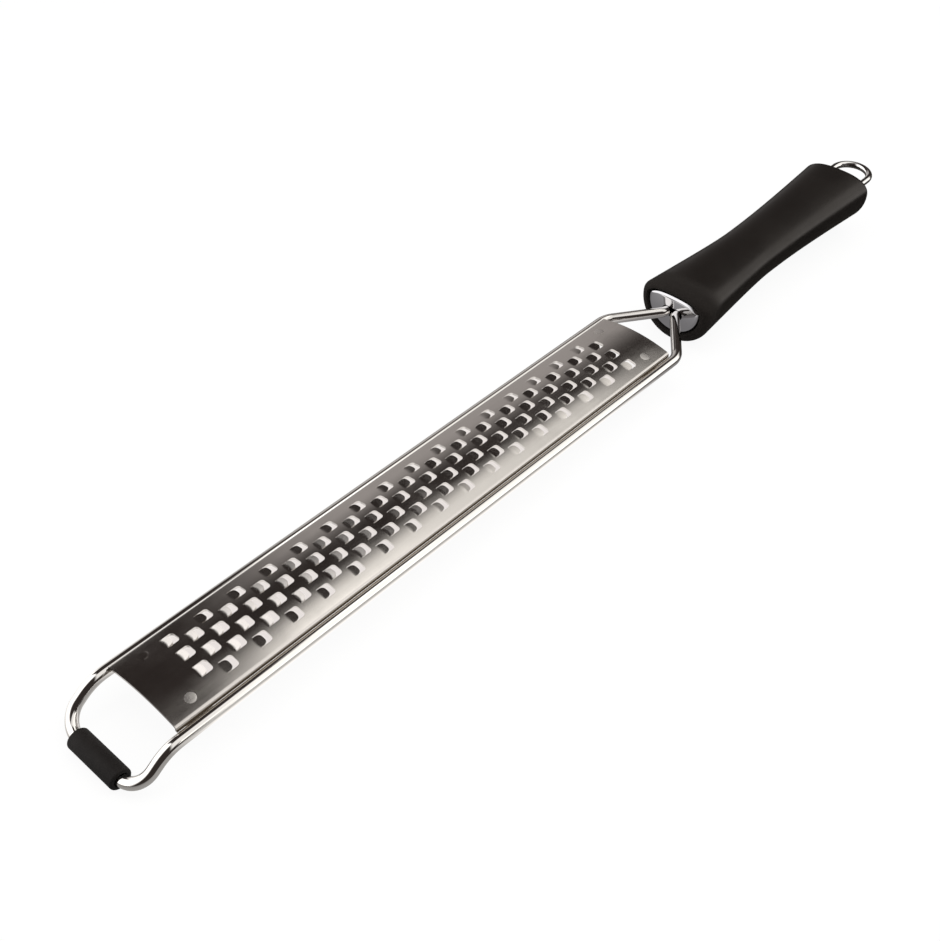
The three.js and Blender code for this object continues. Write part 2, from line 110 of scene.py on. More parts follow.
def add_sockets(tree, in_out, sockets):
    """Adds sockets to a tree by name: of a kind, or with a first value that tells the kind."""
    kinds = {float: "NodeSocketFloat", int: "NodeSocketInt", tuple: "NodeSocketVector"}
    for name, value in sockets.items():
        kind = value if isinstance(value, str) else kinds[type(value)]
        socket = tree.interface.new_socket(name=name.replace("_", " "), in_out=in_out, socket_type=kind)
        if kind != value:
            socket.default_value = value


def geometry_tree(name, **inputs):
    """Geometry tree with a finish and other named inputs, and the sockets that they come by."""
    tree = bpy.data.node_groups.new(name, "GeometryNodeTree")
    add_sockets(tree, "OUTPUT", {"Geometry": "NodeSocketGeometry"})
    add_sockets(tree, "INPUT", {"Geometry": "NodeSocketGeometry", **inputs, "Finish": "NodeSocketMaterial"})
    return tree, tree.nodes.new("NodeGroupInput").outputs


def feed(socket, value):
    """Links a socket to another one, or sets it to a value."""
    if isinstance(value, bpy.types.NodeSocket):
        socket.id_data.links.new(value, socket)
    else:
        socket.default_value = value


def set_inputs(node, **values):
    """Sets a node's inputs by name, from sockets or values."""
    for name, value in values.items():
        feed(node.inputs[name.replace("_", " ")], value)


def add_node(tree, kind, settings=None, **values):
    """New node whose properties are set from settings, and whose inputs from sockets or values."""
    node = tree.nodes.new(kind)
    for name, value in (settings or {}).items():
        setattr(node, name, value)
    set_inputs(node, **values)
    return node


def tree_math(operation, first, second=0, kind="ShaderNodeMath"):
    """What a math node makes of a socket and a second one, or a value, in the socket's tree."""
    node = add_node(first.id_data, kind, {"operation": operation})
    feed(node.inputs[0], first)
    feed(node.inputs[1], second)
    return node.outputs[0]


def change(value, start=0.0, end=1.0, before=0.0, after=1.0, blend="LINEAR"):
    """Goes from before to after while the value goes from start to end."""
    node = add_node(
        value.id_data,
        "ShaderNodeMapRange",
        {"interpolation_type": blend},
        Value=value,
        From_Min=start,
        From_Max=end,
        To_Min=before,
        To_Max=after,
    )
    return node.outputs["Result"]


def axes(place):
    """The three values of a place or a direction, by axis."""
    return add_node(place.id_data, "ShaderNodeSeparateXYZ", Vector=place).outputs


def vector(tree, **values):
    """Vector made of values by axis."""
    return add_node(tree, "ShaderNodeCombineXYZ", **values).outputs[0]


def close_tree(tree, geometry, finish):
    """Ends a tree: smooth faces, real geometry, its finish."""
    smooth = add_node(tree, "GeometryNodeSetShadeSmooth", Geometry=geometry)
    real = add_node(tree, "GeometryNodeRealizeInstances", Geometry=smooth.outputs[0])
    painted = add_node(tree, "GeometryNodeSetMaterial", Geometry=real.outputs[0], Material=finish)
    add_node(tree, "NodeGroupOutput", Geometry=painted.outputs[0])


def linked_object(name, data):
    """New object in the scene."""
    made = bpy.data.objects.new(name, data)
    bpy.context.collection.objects.link(made)
    return made


def evaluated_mesh(host):
    """Mesh of an object as its modifiers leave it."""
    bpy.context.view_layer.update()
    graph = bpy.context.evaluated_depsgraph_get()
    return bpy.data.meshes.new_from_object(host.evaluated_get(graph), depsgraph=graph)


def made_by_tree(name, mesh, tree, values):
    """Runs a tree on a mesh and gives the result as a plain mesh object. Values are by input name."""
    host = linked_object(name, mesh)
    modifier = host.modifiers.new(name, "NODES")
    modifier.node_group = tree
    for socket in tree.interface.items_tree:
        if socket.in_out == "INPUT" and socket.name in values:
            modifier[socket.identifier] = values[socket.name]
    made = evaluated_mesh(host)
    host.modifiers.remove(modifier)
    host.data = made
    made.name = name
    bpy.data.meshes.remove(mesh)
    return host


# Tree that draws a round wire along a route. It keeps the run along the wire and the place round it, so the
# marks of the drawing die can follow the bends.
wire_tree, wire_in = geometry_tree("drawn_wire", Diameter=WIRE, Sides=WIRE_SIDES)
route_curve = add_node(wire_tree, "GeometryNodeMeshToCurve", Mesh=wire_in["Geometry"])
run = wire_tree.nodes.new("GeometryNodeSplineParameter")
route_run = add_node(
    wire_tree,
    "GeometryNodeStoreNamedAttribute",
    {"data_type": "FLOAT", "domain": "POINT"},
    Geometry=route_curve.outputs[0],
    Name="run",
    Value=run.outputs["Length"],
)
ring = add_node(
    wire_tree,
    "GeometryNodeCurvePrimitiveCircle",
    Resolution=wire_in["Sides"],
    Radius=tree_math("MULTIPLY", wire_in["Diameter"], 0.5),
)
place_round = wire_tree.nodes.new("GeometryNodeInputPosition")
ring_round = add_node(
    wire_tree,
    "GeometryNodeStoreNamedAttribute",
    {"data_type": "FLOAT_VECTOR", "domain": "POINT"},
    Geometry=ring.outputs[0],
    Name="round",
    Value=place_round.outputs[0],
)
drawn = add_node(
    wire_tree,
    "GeometryNodeCurveToMesh",
    Curve=route_run.outputs[0],
    Profile_Curve=ring_round.outputs[0],
    Fill_Caps=True,
)
close_tree(wire_tree, drawn.outputs[0], wire_in["Finish"])


def drawn_wire(name, corners, diameter, sides, finish):
    """Wire piece of a diameter along a bent route."""
    points = bent_route(corners)
    mesh = bpy.data.meshes.new(name)
    mesh.from_pydata(points, [(i, i + 1) for i in range(len(points) - 1)], [])
    return made_by_tree(name, mesh, wire_tree, {"Diameter": diameter, "Sides": sides, "Finish": finish})


def shader_group(name, output, **inputs):
    """Shader group that makes one value of a place, the sockets its inputs come by, and its output node."""
    group = bpy.data.node_groups.new(name, "ShaderNodeTree")
    add_sockets(group, "INPUT", {"Place": "NodeSocketVector", **inputs})
    add_sockets(group, "OUTPUT", {output: "NodeSocketFloat"})
    return group, group.nodes.new("NodeGroupInput").outputs, group.nodes.new("NodeGroupOutput")


def new_finish(name, colour, roughness, metallic):
    """Material with a Principled BSDF set to its plain values, and that shader."""
    finish = bpy.data.materials.new(name)
    finish.use_nodes = True
    shader = finish.node_tree.nodes["Principled BSDF"]
    set_inputs(shader, Base_Color=(*colour, 1), Roughness=roughness, Metallic=metallic)
    return finish, shader


def noise(place, scale, detail, **more):
    """Noise at a place, from 0 to 1."""
    node = add_node(place.id_data, "ShaderNodeTexNoise", Vector=place, Scale=scale, Detail=detail, **more)
    return node.outputs["Fac"]


# Lines left by drawing or grinding: noise pulled out along one direction, as a value from 0 to 1
lines_group, lines_in, lines_out = shader_group("worked_lines", "Line", Lines=(100, 6000, 6000))
pulled = tree_math("MULTIPLY", lines_in["Place"], lines_in["Lines"], "ShaderNodeVectorMath")
set_inputs(lines_out, Line=noise(pulled, scale=1.0, detail=3.0))

# Handling: soft smudges, as a roughness between a clean and a handled one
SMUDGE_START = 0.35
SMUDGE_FULL = 0.7
smudge_group, smudge_in, smudge_out = shader_group(
    "handled_polish", "Roughness", Size=120.0, Clean=0.06, Handled=0.16
)
smudge = noise(smudge_in["Place"], smudge_in["Size"], detail=4.0, Roughness=0.6)
smudged = change(smudge, SMUDGE_START, SMUDGE_FULL, smudge_in["Clean"], smudge_in["Handled"])
set_inputs(smudge_out, Roughness=smudged)


def place_group(group, place, **values):
    """What a shader group makes of a place, in the place's material."""
    node = add_node(place.id_data, "ShaderNodeGroup", {"node_tree": group}, Place=place, **values)
    return node.outputs[0]


def bump(height, strength, distance):
    """Normal bent by a height; the distance is in metres."""
    node = add_node(height.id_data, "ShaderNodeBump", Height=height, Strength=strength, Distance=distance)
    return node.outputs["Normal"]


def wire_finish(name, colour, clean, handled):
    """Polished wire: lines of the drawing die along the wire, smudges on top."""
    finish, shader = new_finish(name, colour, roughness=clean, metallic=1)
    tree = shader.id_data
    run_at = add_node(tree, "ShaderNodeAttribute", {"attribute_name": "run"})
    round_at = add_node(tree, "ShaderNodeAttribute", {"attribute_name": "round"})
    on_ring = axes(round_at.outputs["Vector"])
    on_wire = vector(tree, X=run_at.outputs["Fac"], Y=on_ring["X"], Z=on_ring["Y"])
    die_lines = place_group(lines_group, on_wire, Lines=(60, 5000, 5000))
    set_inputs(
        shader,
        Roughness=place_group(smudge_group, on_wire, Size=160, Clean=clean, Handled=handled),
        Normal=bump(die_lines, strength=0.12, distance=0.02 * MM),
    )
    return finish


bright_wire = wire_finish("bright_wire", (0.78, 0.76, 0.74), clean=0.05, handled=0.1)


def in_handle(x, y, z):
    """Place in the handle's frame."""
    return handle_frame @ Vector((x, y, z))


far_side = [
    (in_handle(TANG_LENGTH, TANG_Y, -TANG_DROP), 0),
    (in_handle(-TANG_LEAD, TANG_Y, -TANG_DROP), TANG_BEND),
    (Vector((blade_rear + NECK_START, RAIL_Y, RAIL_Z)), NECK_BEND),
    (Vector((blade_front - BOW_START, RAIL_Y, RAIL_Z)), BOW_BEND),
    (Vector((blade_front - BOW_REACH, RAIL_Y, BAR_Z)), BAR_BEND),
]
near_side = [(Vector((place.x, -place.y, place.z)), bend) for place, bend in reversed(far_side)]
wire_frame = drawn_wire("wire_frame_drawn", far_side + near_side, WIRE, WIRE_SIDES, bright_wire)
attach(wire_frame, "root")
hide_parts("wire_frame")

# Foot sleeve: a short length of thick black rubber tube pushed onto the front bar, so the tip doesn't slip.
# Its ends are cut square and the cut edges are rounded over.
SLEEVE_RADIUS = 3.6 * MM
SLEEVE_BORE = 2.12 * MM
SLEEVE_LENGTH = 20.4 * MM
SLEEVE_ROUND = 0.7 * MM
SLEEVE_MOUTH = 0.35 * MM
SLEEVE_SIDES = 64
ROUND_STEPS = 6
DOUBLES = 0.002 * MM
SHARP = math.radians(35)
RUBBER_DARK = (0.0055, 0.0044, 0.0041)
RUBBER_DUSTY = (0.0095, 0.0079, 0.0074)


def quarter_round(centre_a, centre_b, radius, start, steps=ROUND_STEPS):
    """Points of a quarter circle from an angle, counted from the first axis toward the second."""
    angles = [start + math.pi / 2 * i / steps for i in range(steps + 1)]
    return [(centre_a + radius * math.cos(a), centre_b + radius * math.sin(a)) for a in angles]


def plain_mesh(name, shape):
    """Mesh from a bmesh as it is."""
    mesh = bpy.data.meshes.new(name)
    shape.to_mesh(mesh)
    shape.free()
    return mesh


def finished_mesh(name, shape):
    """Mesh from a bmesh: doubles merged, faces outward, smooth but for the sharp edges."""
    bmesh.ops.remove_doubles(shape, verts=shape.verts, dist=DOUBLES)
    bmesh.ops.recalc_face_normals(shape, faces=shape.faces)
    mesh = plain_mesh(name, shape)
    mesh.shade_smooth()
    mesh.set_sharp_from_angle(angle=SHARP)
    return mesh


def add_piece(name, mesh, finish, nodes):
    """Piece of the object that stands for CAD nodes."""
    piece = linked_object(name, mesh)
    mesh.materials.clear()
    mesh.materials.append(finish)
    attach(piece, "root")
    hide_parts(*nodes)


def skin(shape, rings, closed_rings=True, closed_along=False):
    """Faces between rows of points that follow each other."""
    rows = [[shape.verts.new(point) for point in ring] for ring in rings]
    pairs = list(zip(rows, rows[1:]))
    if closed_along:
        pairs.append((rows[-1], rows[0]))
    for one, other in pairs:
        count = len(one)
        for i in range(count if closed_rings else count - 1):
            j = (i + 1) % count
            shape.faces.new((one[i], one[j], other[j], other[i]))
    return rows


def turned_rings(profile, sides, axis_frame):
    """Rings of a profile of (radius, height) turned about the frame's Z."""
    turns = [2 * math.pi * i / sides for i in range(sides)]
    return [
        [axis_frame @ Vector((r * math.cos(turn), r * math.sin(turn), height)) for turn in turns]
        for r, height in profile
    ]


sleeve_low, sleeve_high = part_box("foot_sleeve")
sleeve_frame = (
    Matrix.Translation(((sleeve_low.x + sleeve_high.x) / 2, 0, BAR_Z)) @ Matrix.Rotation(math.pi / 2, 4, "X")
)
sleeve_end = SLEEVE_LENGTH / 2
sleeve_half = [
    *quarter_round(SLEEVE_RADIUS - SLEEVE_ROUND, sleeve_end - SLEEVE_ROUND, SLEEVE_ROUND, 0),
    *quarter_round(SLEEVE_BORE + SLEEVE_MOUTH, sleeve_end - SLEEVE_MOUTH, SLEEVE_MOUTH, math.pi / 2),
]
sleeve_profile = sleeve_half + [(r, -height) for r, height in reversed(sleeve_half)]
sleeve_shape = bmesh.new()
skin(sleeve_shape, turned_rings(sleeve_profile, SLEEVE_SIDES, sleeve_frame), closed_along=True)


def object_place(node):
    """Place on the object, for the node's material."""
    return add_node(node.id_data, "ShaderNodeTexCoord").outputs["Object"]


def colour_ramp(value, *stops):
    """Colour by a value, between stops of a position and a colour."""
    node = add_node(value.id_data, "ShaderNodeValToRGB", Fac=value)
    for element, (position, colour) in zip(node.color_ramp.elements, stops):
        element.position = position
        element.color = (*colour, 1)
    return node.outputs["Color"]


black_rubber, rubber_shader = new_finish(
    "black_rubber", (0.017, 0.0145, 0.0135), roughness=0.7, metallic=0
)
rubber_place = object_place(rubber_shader)
rubber_dust = noise(rubber_place, scale=240.0, detail=5.0)
rubber_grain = noise(rubber_place, scale=2600.0, detail=3.0)
set_inputs(
    rubber_shader,
    Base_Color=colour_ramp(rubber_dust, (0.35, RUBBER_DARK), (0.75, RUBBER_DUSTY)),
    Specular_IOR_Level=0.25,
    Normal=bump(rubber_grain, strength=0.35, distance=0.05 * MM),
)
sleeve_mesh = finished_mesh("rubber_sleeve", sleeve_shape)
add_piece("rubber_sleeve", sleeve_mesh, black_rubber, ["foot_sleeve"])

# Straps: two strips of bare steel, pressed to a top-hat shape. The crown takes the blade's arch from below,
# the legs stand inside its turned edges, and the feet are welded to the underside of the rails.
ARCH_RADIUS = 62.5 * MM
BLADE_SHEET = 0.8 * MM
GAP = 0.3 * MM
STRAP_SHEET = 1.2 * MM
STRAP_BEND = 0.9 * MM
STRAP_FOOT = 2.6 * MM
STRAP_EDGE = 0.15 * MM
CROWN_STEPS = 9
CROWN_STEP = 0.11
FOLD_STEPS = 10
BROKEN_SEGMENTS = 2
BROKEN_ANGLE = math.radians(50)
SHEET_SHARP = math.radians(38)
arch_centre_z = CROWN_HEIGHT - ARCH_RADIUS


def arched_half(radius, half_width, bend, crown_ys):
    """Half a sheet's section, from the middle outward: an arch, then a bend that turns straight down."""
    bend_y = half_width - bend
    bend_angle = math.asin(bend_y / (radius - bend))
    bend_z = arch_centre_z + (radius - bend) * math.cos(bend_angle)
    crown = [(y, arch_centre_z + math.sqrt(radius**2 - y**2)) for y in crown_ys]
    turns = [bend_angle + (math.pi / 2 - bend_angle) * i / FOLD_STEPS for i in range(FOLD_STEPS + 1)]
    return crown + [(bend_y + bend * math.sin(a), bend_z + bend * math.cos(a)) for a in turns]


def thickened(mesh, thickness, offset, edge):
    """Sheet given its thickness, and its cut edges broken."""
    host = linked_object(mesh.name, mesh)
    solid = host.modifiers.new("sheet", "SOLIDIFY")
    solid.thickness = thickness
    solid.offset = offset
    solid.use_even_offset = True
    solid.use_quality_normals = True
    if edge:
        broken = host.modifiers.new("edge", "BEVEL")
        broken.width = edge
        broken.segments = BROKEN_SEGMENTS
        broken.limit_method = "ANGLE"
        broken.angle_limit = BROKEN_ANGLE
    made = evaluated_mesh(host)
    made.name = mesh.name
    bpy.data.objects.remove(host)
    made.shade_smooth()
    made.set_sharp_from_angle(angle=SHEET_SHARP)
    return made


strap_leg = BLADE_WIDTH / 2 - BLADE_SHEET - GAP - STRAP_SHEET / 2
strap_foot_z = RAIL_Z - WIRE / 2 - GAP - STRAP_SHEET / 2
strap_radius = ARCH_RADIUS - BLADE_SHEET - GAP - STRAP_SHEET / 2
strap_crown = [strap_leg * CROWN_STEP * i for i in range(CROWN_STEPS)]
strap_half = arched_half(strap_radius, strap_leg, STRAP_BEND, strap_crown)
for i in range(FOLD_STEPS + 1):
    foot_turn = math.pi / 2 * i / FOLD_STEPS
    foot_y = strap_leg + STRAP_BEND * (1 - math.cos(foot_turn))
    foot_z = strap_foot_z + STRAP_BEND * (1 - math.sin(foot_turn))
    strap_half.append((foot_y, foot_z))
strap_half.append((strap_leg + STRAP_SHEET / 2 + STRAP_FOOT, strap_foot_z))
strap_section = [(-y, z) for y, z in reversed(strap_half[1:])] + strap_half

strap_steel, strap_shader = new_finish("strap_steel", (0.5, 0.48, 0.46), roughness=0.38, metallic=1)
strap_place = object_place(strap_shader)
strap_lines = place_group(lines_group, strap_place, Lines=(5000, 90, 90))
strap_handled = place_group(smudge_group, strap_place, Size=150.0, Clean=0.3, Handled=0.46)
strap_rolled = bump(strap_lines, strength=0.25, distance=0.02 * MM)
set_inputs(strap_shader, Roughness=strap_handled, Normal=strap_rolled)
for strap_node in ("front_strap", "rear_strap"):
    strap_low, strap_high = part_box(strap_node)
    strap_shape = bmesh.new()
    strap_rows = [[Vector((x, y, z)) for y, z in strap_section] for x in (strap_low.x, strap_high.x)]
    skin(strap_shape, strap_rows, closed_rings=False)
    strap_sheet = finished_mesh(f"{strap_node}_pressed", strap_shape)
    strap_mesh = thickened(strap_sheet, STRAP_SHEET, 0, STRAP_EDGE)
    add_piece(f"{strap_node}_pressed", strap_mesh, strap_steel, [strap_node])

# Blade: stainless sheet with six staggered columns of punched teeth, arched across and turned down along both
# long edges, which end on the rails. Low on the turned edges the steel is painted dark brown, a painted shade
# where the flange meets the rail. Each punch opens a rounded square and leaves a squared
# tongue bent up at its tip side.
TOOTH_PITCH = 12.5 * MM
COLUMN_STEP = 3.775 * MM
TOOTH_ROWS = 16
COLUMNS_IN_SET = 3
HOLE_X = 2.25 * MM
HOLE_Y = 2.2 * MM
HOLE_CORNER = 1.05 * MM
HOLE_AHEAD = 0.35 * MM
HORN_ASIDE = 0.1 * MM
HORN_LEAD = 0.25 * MM
CORNER_STEPS = 4
TONGUE_Y = 2.0 * MM
TONGUE_ASIDE = -0.2 * MM
TONGUE_REACH = 2.4 * MM
TONGUE_SQUARENESS = 3.2
TONGUE_ROOT = 0.4 * MM
TONGUE_INNER = 0.95
TONGUE_RISE = 0.7 * MM
OUTER_RISE = 0.39
ROW_LEEWAY = 0.1
COLUMN_LEEWAY = 0.4
EDGE_BEND = 1.1 * MM
EDGE_OVERLAP = 0.75 * MM
EDGE_DROP = 3.8 * MM
EDGE_STEPS = 4
FLANGE_STEPS = 3
END_STEPS = 18
STEEL_COLOUR = (0.57, 0.545, 0.525)
# Painted shade: dark brown colour painted low on the turned edges, between the heights below
PAINTED_SHADE_COLOUR = (0.22, 0.19, 0.155)
PAINTED_SHADE_LOW = 14.55 * MM
PAINTED_SHADE_HIGH = 15.0 * MM
TILE_X_STEPS = 8
TILE_Y_STEPS = 16
TONGUE_RINGS = 4
TILE_RINGS = 6
tile_x = TOOTH_PITCH / 4
tile_y = COLUMN_STEP


def side_points(start, end, steps):
    """Points from one place toward another, without the last."""
    return [start.lerp(end, i / steps) for i in range(steps)]


def tile_outline():
    """Rim of the piece of sheet that one tooth is punched from, from its front near corner."""
    corners = [Vector((sx * tile_x, sy * tile_y, 0)) for sx, sy in ((-1, -1), (1, -1), (1, 1), (-1, 1))]
    outline = []
    for i, start in enumerate(corners):
        steps = TILE_Y_STEPS if i % 2 else TILE_X_STEPS
        outline += side_points(start, corners[(i + 1) % len(corners)], steps)
    return outline


def mirrored(points):
    """Points on the other side of the middle line, in the other order."""
    return [Vector((p.x, -p.y, 0)) for p in reversed(points)]


def hole_outline():
    """Rim of the opening: near wall, rear edge, far wall, then back along the tongue. It has as many points
    as the tile's rim."""
    horn = Vector((-HOLE_X, -HOLE_Y + HORN_ASIDE, 0))
    wall_start = Vector((-HOLE_X + HORN_LEAD, -HOLE_Y, 0))
    wall_end = Vector((HOLE_X - HOLE_CORNER, -HOLE_Y, 0))
    centre = Vector((HOLE_X - HOLE_CORNER, -HOLE_Y + HOLE_CORNER, 0))
    corner = [
        centre + HOLE_CORNER * Vector((math.sin(a), -math.cos(a), 0))
        for a in (math.pi / 2 * i / CORNER_STEPS for i in range(CORNER_STEPS + 1))
    ]
    on_wall = corner[:2]
    on_rear = corner[2:-1]
    near = [horn, *side_points(wall_start, wall_end, TILE_X_STEPS - len(on_wall) - 1), *on_wall]
    rear_end = mirrored(corner[2:])
    rear_edge = side_points(corner[-1], rear_end[0], TILE_Y_STEPS - 2 * len(on_rear))
    tongue = []
    for i in range(TILE_Y_STEPS - 1):
        angle = math.pi * i / (TILE_Y_STEPS - 2)
        reach = max(math.sin(angle), 0) ** (2 / TONGUE_SQUARENESS)
        across = math.copysign(abs(math.cos(angle)) ** (2 / TONGUE_SQUARENESS), math.cos(angle))
        tongue.append(Vector((TONGUE_REACH * reach - HOLE_X, TONGUE_Y * across + TONGUE_ASIDE * reach, 0)))
    outline = near + on_rear + rear_edge + rear_end + mirrored(near) + tongue
    return [Vector((p.x + HOLE_AHEAD, p.y, 0)) for p in outline]


def tooth_tile():
    """Sheet round one tooth: rings from the opening to the tile's rim, the tongue raised."""
    rim = tile_outline()
    hole = hole_outline()
    count = len(rim)
    tongue_first = 2 * TILE_X_STEPS + TILE_Y_STEPS
    tongue_x = HOLE_AHEAD - HOLE_X
    rings = []
    for ring_index in range(TILE_RINGS + 1):
        row = []
        for j in range(count):
            if j >= tongue_first or j == 0:
                step = j - tongue_first if j else TILE_Y_STEPS
                root_y = TONGUE_INNER * TONGUE_Y * (1 - 2 * (step - 1) / (TILE_Y_STEPS - 2))
                if step in (0, TILE_Y_STEPS):
                    root_y = hole[j].y
                root = Vector((tongue_x - TONGUE_ROOT, root_y, 0))
                if ring_index <= TONGUE_RINGS:
                    point = hole[j].lerp(root, ring_index / TONGUE_RINGS)
                else:
                    point = root.lerp(rim[j], (ring_index - TONGUE_RINGS) / (TILE_RINGS - TONGUE_RINGS))
                reach = max(point.x - tongue_x, 0) / TONGUE_REACH
                point.z = TONGUE_RISE * reach
            else:
                point = hole[j].lerp(rim[j], ring_index / TILE_RINGS)
            row.append(point)
        rings.append(row)
    shape = bmesh.new()
    skin(shape, rings)
    return plain_mesh("tooth_tile", shape)


# Tree that sets the teeth out: two sets of columns, the second half a pitch further on and a column aside.
# The outermost columns, where the sheet was already bending, have flatter tongues but for their first tooth.
teeth_tree, teeth_in = geometry_tree(
    "punched_teeth",
    Pitch=TOOTH_PITCH,
    Column_step=COLUMN_STEP,
    Rows=TOOTH_ROWS,
    Columns_in_a_set=COLUMNS_IN_SET,
    Outer_rise=OUTER_RISE,
)
set_length = tree_math("MULTIPLY", tree_math("SUBTRACT", teeth_in["Rows"], 1), teeth_in["Pitch"])
set_width = tree_math(
    "MULTIPLY",
    tree_math("SUBTRACT", teeth_in["Columns in a set"], 1),
    tree_math("MULTIPLY", teeth_in["Column step"], 2),
)
teeth_grid = add_node(
    teeth_tree,
    "GeometryNodeMeshGrid",
    Size_X=set_length,
    Size_Y=set_width,
    Vertices_X=teeth_in["Rows"],
    Vertices_Y=teeth_in["Columns in a set"],
)
both_sets = teeth_tree.nodes.new("GeometryNodeJoinGeometry")
for set_side in (-1, 1):
    set_shift = vector(
        teeth_tree,
        X=tree_math("MULTIPLY", teeth_in["Pitch"], 0.25 * set_side),
        Y=tree_math("MULTIPLY", teeth_in["Column step"], -0.5 * set_side),
    )
    shifted = add_node(
        teeth_tree, "GeometryNodeTransform", Geometry=teeth_grid.outputs["Mesh"], Translation=set_shift
    )
    teeth_tree.links.new(shifted.outputs[0], both_sets.inputs[0])
tooth_at = teeth_tree.nodes.new("GeometryNodeInputPosition")
tooth_xy = axes(tooth_at.outputs[0])
tooth_row = tree_math(
    "DIVIDE", tree_math("ADD", tooth_xy["X"], tree_math("MULTIPLY", set_length, 0.5)), teeth_in["Pitch"]
)
tooth_first = change(tooth_row, -ROW_LEEWAY, ROW_LEEWAY, before=1.0, after=0.0)
tooth_column = tree_math("DIVIDE", tree_math("ABSOLUTE", tooth_xy["Y"]), teeth_in["Column step"])
outer_column = COLUMNS_IN_SET - 1
tooth_rise = change(
    tooth_column,
    outer_column - COLUMN_LEEWAY,
    outer_column + COLUMN_LEEWAY,
    before=1.0,
    after=teeth_in["Outer rise"],
)
tooth_scale = vector(teeth_tree, X=1.0, Y=1.0, Z=tree_math("MAXIMUM", tooth_rise, tooth_first))
set_out = add_node(
    teeth_tree,
    "GeometryNodeInstanceOnPoints",
    Points=both_sets.outputs[0],
    Instance=teeth_in["Geometry"],
    Scale=tooth_scale,
)
close_tree(teeth_tree, set_out.outputs[0], teeth_in["Finish"])


def fade(value, start, end):
    """0 before start, 1 after end, smooth between; start may be the larger."""
    if start > end:
        return change(value, end, start, before=1.0, after=0.0, blend="SMOOTHSTEP")
    return change(value, start, end, blend="SMOOTHSTEP")


polished_steel, steel_shader = new_finish("polished_steel", STEEL_COLOUR, roughness=0.17, metallic=1)
steel_place = object_place(steel_shader)
steel_lines = place_group(lines_group, steel_place, Lines=(45, 4200, 4200))
steel_streaks = place_group(lines_group, steel_place, Lines=(18, 900, 900))
steel_handled = place_group(smudge_group, steel_place, Size=70.0, Clean=0.13, Handled=0.2)
steel_streaked = change(steel_streaks, before=0.8, after=1.2)
# Painted shade: the steel's colour goes dark brown low on the turned edges, where they meet the rails
steel_painted_shade = fade(axes(steel_place)["Z"], PAINTED_SHADE_LOW, PAINTED_SHADE_HIGH)
set_inputs(
    steel_shader,
    Base_Color=colour_ramp(steel_painted_shade, (0, PAINTED_SHADE_COLOUR), (1, STEEL_COLOUR)),
    Roughness=tree_math("MULTIPLY", steel_handled, steel_streaked),
    Normal=bump(steel_lines, strength=0.05, distance=0.012 * MM),
)

teeth = made_by_tree("teeth_flat", tooth_tile(), teeth_tree, {"Finish": polished_steel})
blade_shape = bmesh.new()
blade_shape.from_mesh(teeth.data)
bpy.data.objects.remove(teeth)

# Plain sheet round the teeth: fills between the columns' ends, the two ends of the blade and its turned edges
field_x = TOOTH_ROWS * TOOTH_PITCH / 2
field_y = (COLUMNS_IN_SET * 2 + 1) * COLUMN_STEP / 2
x_step = 2 * tile_x / TILE_X_STEPS
y_step = 2 * tile_y / TILE_Y_STEPS
end_length = BLADE_LENGTH / 2 - field_x


def flat_patch(x_stations, y_stations):
    """Flat grid of sheet."""
    skin(blade_shape, [[Vector((x, y, 0)) for y in y_stations] for x in x_stations], closed_rings=False)


for row_index in range(2 * TOOTH_ROWS):
    patch_x = [-field_x + row_index * 2 * tile_x + i * x_step for i in range(TILE_X_STEPS + 1)]
    patch_side = -1 if row_index % 2 == 0 else 1
    patch_y = [patch_side * (field_y - i * y_step) for i in range(TILE_Y_STEPS // 2 + 1)]
    flat_patch(patch_x, sorted(patch_y))
field_ys = [-field_y + i * y_step for i in range(round(2 * field_y / y_step) + 1)]
end_xs = [field_x + end_length * i / END_STEPS for i in range(END_STEPS + 1)]
flat_patch(end_xs, field_ys)
flat_patch([-x for x in reversed(end_xs)], field_ys)
for vert in blade_shape.verts:
    lean_z = math.sqrt(ARCH_RADIUS**2 - vert.co.y**2)
    normal = Vector((0, vert.co.y / ARCH_RADIUS, lean_z / ARCH_RADIUS))
    rise = vert.co.z
    vert.co = Vector((vert.co.x, vert.co.y, arch_centre_z + lean_z)) + normal * rise
field_xs = [-field_x + i * x_step for i in range(round(2 * field_x / x_step) + 1)]
blade_xs = [-x for x in reversed(end_xs[1:])] + field_xs + end_xs[1:]
edge_y = BLADE_WIDTH / 2 + EDGE_OVERLAP
edge_crown = [field_y + (edge_y - EDGE_BEND - field_y) * i / EDGE_STEPS for i in range(EDGE_STEPS + 1)]
edge_half = arched_half(ARCH_RADIUS, edge_y, EDGE_BEND, edge_crown)
edge_rim_z = CROWN_HEIGHT - EDGE_DROP
edge_top_z = edge_half[-1][1]
for i in range(1, FLANGE_STEPS + 1):
    edge_half.append((edge_y, edge_top_z + (edge_rim_z - edge_top_z) * i / FLANGE_STEPS))
for side in (-1, 1):
    edge_rows = [[Vector((x, side * y, z)) for y, z in edge_half] for x in blade_xs]
    skin(blade_shape, edge_rows, closed_rings=False)
bmesh.ops.translate(blade_shape, verts=blade_shape.verts, vec=(blade_x, 0, 0))
blade_sheet = finished_mesh("grating_blade_punched", blade_shape)
if sum(face.normal.z * face.area for face in blade_sheet.polygons) < 0:
    blade_sheet.flip_normals()
blade_mesh = thickened(blade_sheet, BLADE_SHEET, -1, 0)
add_piece("grating_blade_punched", blade_mesh, polished_steel, ["grating_blade"])

